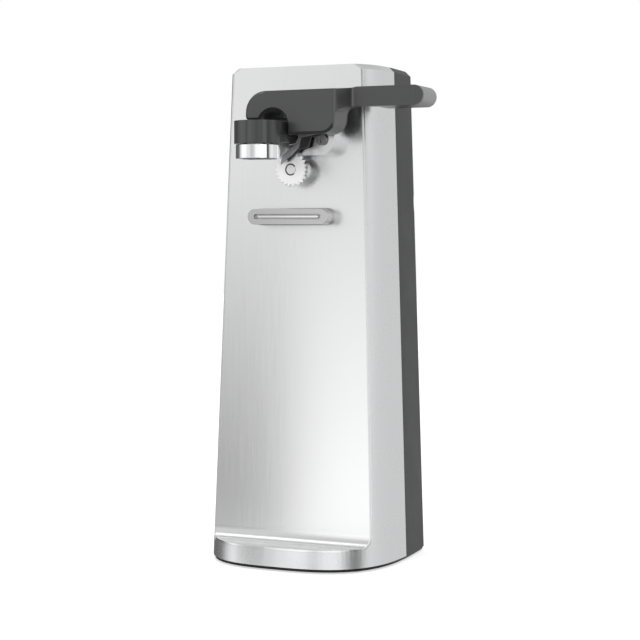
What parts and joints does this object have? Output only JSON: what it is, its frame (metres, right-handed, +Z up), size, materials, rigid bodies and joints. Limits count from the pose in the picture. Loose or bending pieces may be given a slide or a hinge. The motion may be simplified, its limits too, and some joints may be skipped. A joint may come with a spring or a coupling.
{
  "type": "electric can opener",
  "caption": "Free-standing column can opener: toothed drive wheel, cutter and lid magnet on a hinged lever, can rest, and a geared motor inside.",
  "frame": {"origin": "on the floor, under the middle of the whole opener's box", "axes": "+X to the right of someone facing the front, +Y from the front towards the back, +Z up"},
  "size_m": [0.122, 0.1041, 0.25],
  "materials": {
    "silver_shell": "satin silver lacquer on moulded plastic",
    "graphite_plastic": "fine-grained moulded plastic",
    "black_plastic": "moulded plastic",
    "brushed_steel": "brushed lengthways",
    "grip_silver": "satin",
    "chrome": "polished",
    "wheel_steel": "hardened, bright",
    "blade_steel": "ground",
    "zinc_steel": "zinc plated",
    "pin_steel": "ground",
    "spring_steel": "phosphated",
    "screw_steel": "zinc plated",
    "bush_bronze": "sintered",
    "gear_nylon": "moulded nylon",
    "pinion_brass": "cut",
    "lamination": "stacked laminations",
    "copper": "enamelled winding and bare rings",
    "bobbin_nylon": "moulded",
    "magnet_ferrite": "sintered ferrite",
    "plunger_red": "moulded",
    "rubber": "moulded"
  },
  "bodies": {
    "column": {"front_shell": "silver_shell", "rear_cover": "graphite_plastic", "front_plate": "brushed_steel", "base_plate": "black_plastic", "rubber_feet": "rubber", "base_screws": "screw_steel", "housing_screws": "screw_steel", "can_rest": "brushed_steel", "can_rest_bar": "chrome", "can_rest_screws": "screw_steel", "hub_housing": "chrome", "hub_screws": "screw_steel", "spindle_bush": "bush_bronze", "lever_bush": "bush_bronze", "front_gear_plate": "zinc_steel", "rear_gear_plate": "zinc_steel", "plate_pillars": "zinc_steel", "plate_screws": "screw_steel", "gear_axles": "pin_steel", "axle_clips": "spring_steel", "motor_spacers": "zinc_steel", "stator": "lamination", "shading_rings": "copper", "coil_bobbin": "bobbin_nylon", "motor_coil": "copper", "rear_bracket": "zinc_steel", "motor_bearings": "bush_bronze", "motor_screws": "screw_steel", "micro_switch": "black_plastic", "switch_screws": "screw_steel", "terminal_block": "bobbin_nylon", "cord_gland": "rubber"},
    "drive": {"drive_spindle": "wheel_steel", "drive_wheel": "wheel_steel", "output_gear": "gear_nylon"},
    "intermediate": {"intermediate_gear": "gear_nylon"},
    "first": {"first_gear": "gear_nylon"},
    "rotor": {"rotor": "lamination", "motor_shaft": "pin_steel", "motor_pinion": "pinion_brass"},
    "lever": {"lever_cover": "graphite_plastic", "handle_grip": "grip_silver", "lever_plate": "zinc_steel", "lever_pin": "pin_steel", "lever_clip": "spring_steel", "lever_screws": "screw_steel", "switch_arm": "zinc_steel", "cutter_blade": "blade_steel", "cutter_support": "black_plastic", "cutter_screws": "screw_steel", "magnet_pin": "pin_steel"},
    "magnet": {"magnet_arm": "graphite_plastic", "magnet_cup": "chrome", "magnet_disc": "magnet_ferrite"},
    "plunger": {"switch_plunger": "plunger_red"}
  },
  "joints": [
    {"name": "rotor_spin", "type": "hinge", "parent": "column", "child": "rotor", "pos_m": [-0.01124, 0.03078, 0.12629], "axis": [0, 1, 0], "continuous": true},
    {"name": "first_gear_spin", "type": "hinge", "parent": "column", "child": "first", "pos_m": [-0.00324, 0.01478, 0.15019], "axis": [0, 1, 0], "continuous": true},
    {"name": "intermediate_spin", "type": "hinge", "parent": "column", "child": "intermediate", "pos_m": [-0.02323, 0.00978, 0.16978], "axis": [0, 1, 0], "continuous": true},
    {"name": "drive_spin", "type": "hinge", "parent": "column", "child": "drive", "pos_m": [-0.00924, -0.00922, 0.198], "axis": [0, 1, 0], "continuous": true},
    {"name": "lever_pivot", "type": "hinge", "parent": "column", "child": "lever", "pos_m": [-0.02224, -0.01422, 0.229], "axis": [0, -1, 0], "range_deg": [-2.5, 40]},
    {"name": "magnet_tilt", "type": "hinge", "parent": "lever", "child": "magnet", "pos_m": [-0.01273, -0.02372, 0.2205], "axis": [-1, 0, 0], "range_deg": [0, 6]},
    {"name": "plunger_press", "type": "slide", "parent": "column", "child": "plunger", "axis": [0, 0, 1], "range_m": [0, 0.0008], "stiffness_N_per_m": 600, "springref_m": -0.0008}
  ],
  "couplings": [
    {"joint": "first_gear_spin", "follows": "rotor_spin", "ratio": -0.16667},
    {"joint": "intermediate_spin", "follows": "rotor_spin", "ratio": 0.041667},
    {"joint": "drive_spin", "follows": "rotor_spin", "ratio": -0.010417}
  ]
}
